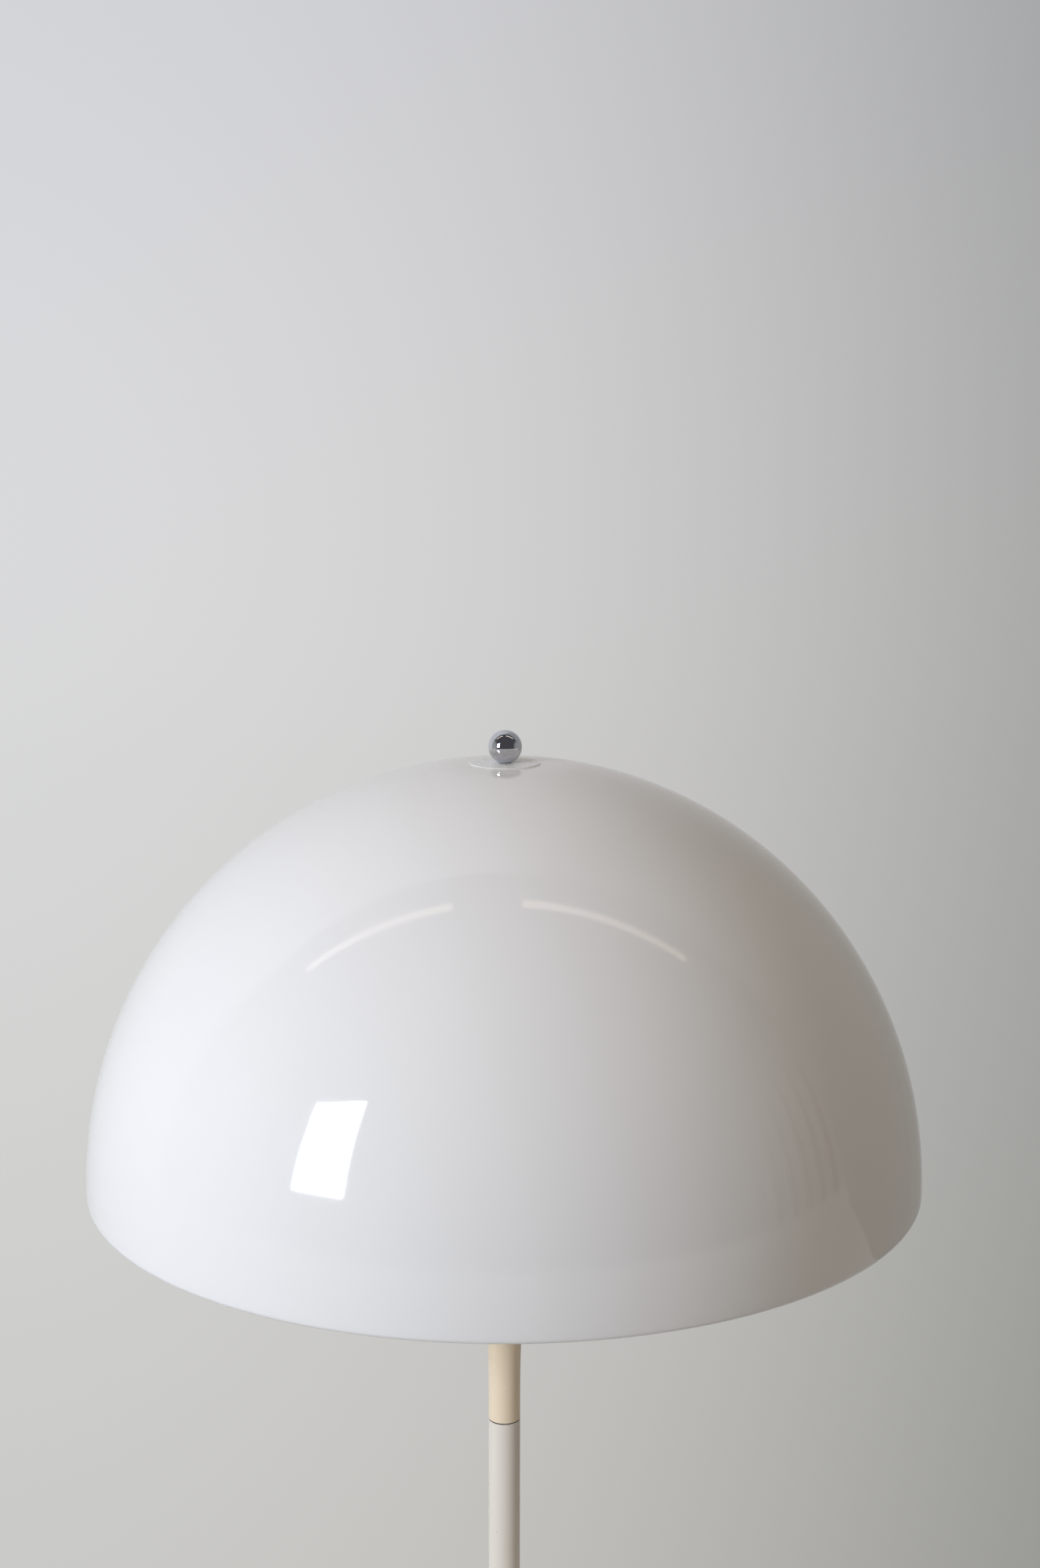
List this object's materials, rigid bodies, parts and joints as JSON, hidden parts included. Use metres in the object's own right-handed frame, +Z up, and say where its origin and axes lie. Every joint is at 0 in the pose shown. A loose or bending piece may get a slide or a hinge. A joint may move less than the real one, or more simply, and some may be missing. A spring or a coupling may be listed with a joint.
{
  "type": "floor lamp",
  "caption": "Floor lamp with a half-sphere opal shade over a trumpet reflector, a slim round tube and a trumpet foot",
  "frame": {"origin": "centre of the foot on the floor, on the lamp's axis", "axes": "+Z up along the tube, +Y towards the cord gland in the foot's edge, +X to the right as seen from the front"},
  "size_m": [0.4999, 0.5, 1.305],
  "materials": {
    "opal_acrylic": "gloss",
    "clear_acrylic": "gloss",
    "chrome_plate": "polished",
    "brass": "turned",
    "zinc_steel": "zinc plated",
    "nickel_wire": "nickel plated",
    "black_rubber": "matte",
    "cream_plastic": "gloss, aged white",
    "black_plastic": "matte",
    "black_phenolic": "satin",
    "porcelain": "glazed",
    "opal_glass": "satin",
    "dark_glass": "gloss",
    "bulb_cap_metal": "satin",
    "white_lacquer": "gloss",
    "iron_casting": "rough",
    "plate_paint": "satin",
    "felt": "felt"
  },
  "bodies": {
    "stand": {"foot_shell": "cream_plastic", "base_weight": "iron_casting", "bottom_plate": "plate_paint", "bottom_screws": "zinc_steel", "floor_ring": "felt", "cord_gland": "black_plastic", "foot_nipple": "zinc_steel", "foot_lock_washer": "zinc_steel", "foot_lock_nut": "zinc_steel", "lower_plug": "zinc_steel", "foot_seam_ring": "black_plastic", "stem_tube": "white_lacquer", "upper_plug": "zinc_steel", "neck_seam_ring": "black_plastic", "neck_nipple": "zinc_steel", "reflector_trumpet": "cream_plastic", "trumpet_washer": "zinc_steel", "trumpet_nut": "brass", "harp_saddle": "zinc_steel", "harp": "nickel_wire", "harp_nuts": "zinc_steel", "harp_hub": "brass", "crown_stud": "zinc_steel", "seat_washer": "black_rubber", "holder_cap": "black_phenolic", "holder_core": "porcelain", "holder_screw_shell": "brass", "holder_contact": "brass", "terminal_screws": "brass", "holder_skirt": "black_phenolic"},
    "bulb_base": {"bulb_contact": "zinc_steel", "bulb_insulator": "dark_glass"},
    "bulb": {"bulb_cap": "bulb_cap_metal", "bulb_glass": "opal_glass"},
    "shade": {"shade": "opal_acrylic", "crown_washer": "clear_acrylic"},
    "finial_bush": {"finial_bush": "brass"},
    "finial": {"finial_ball": "chrome_plate"}
  },
  "joints": [
    {"name": "shade_lift", "type": "slide", "parent": "stand", "child": "shade", "axis": [0, 0, 1], "range_m": [0, 0.3]},
    {"name": "finial_rise", "type": "slide", "parent": "shade", "child": "finial_bush", "axis": [0, 0, 1], "range_m": [0, 0.0064]},
    {"name": "finial_turn", "type": "hinge", "parent": "finial_bush", "child": "finial", "pos_m": [0, 0, 1.295], "axis": [0, 0, 1], "range_deg": [0, 2885]},
    {"name": "bulb_rise", "type": "slide", "parent": "stand", "child": "bulb_base", "axis": [0, 0, 1], "range_m": [0, 0.01088]},
    {"name": "bulb_turn", "type": "hinge", "parent": "bulb_base", "child": "bulb", "pos_m": [0, 0, 1.03689], "axis": [0, 0, 1], "range_deg": [0, 1085]}
  ],
  "couplings": [
    {"joint": "finial_turn", "follows": "finial_rise", "rad_per_m": 7854},
    {"joint": "bulb_turn", "follows": "bulb_rise", "rad_per_m": 1731.6}
  ]
}
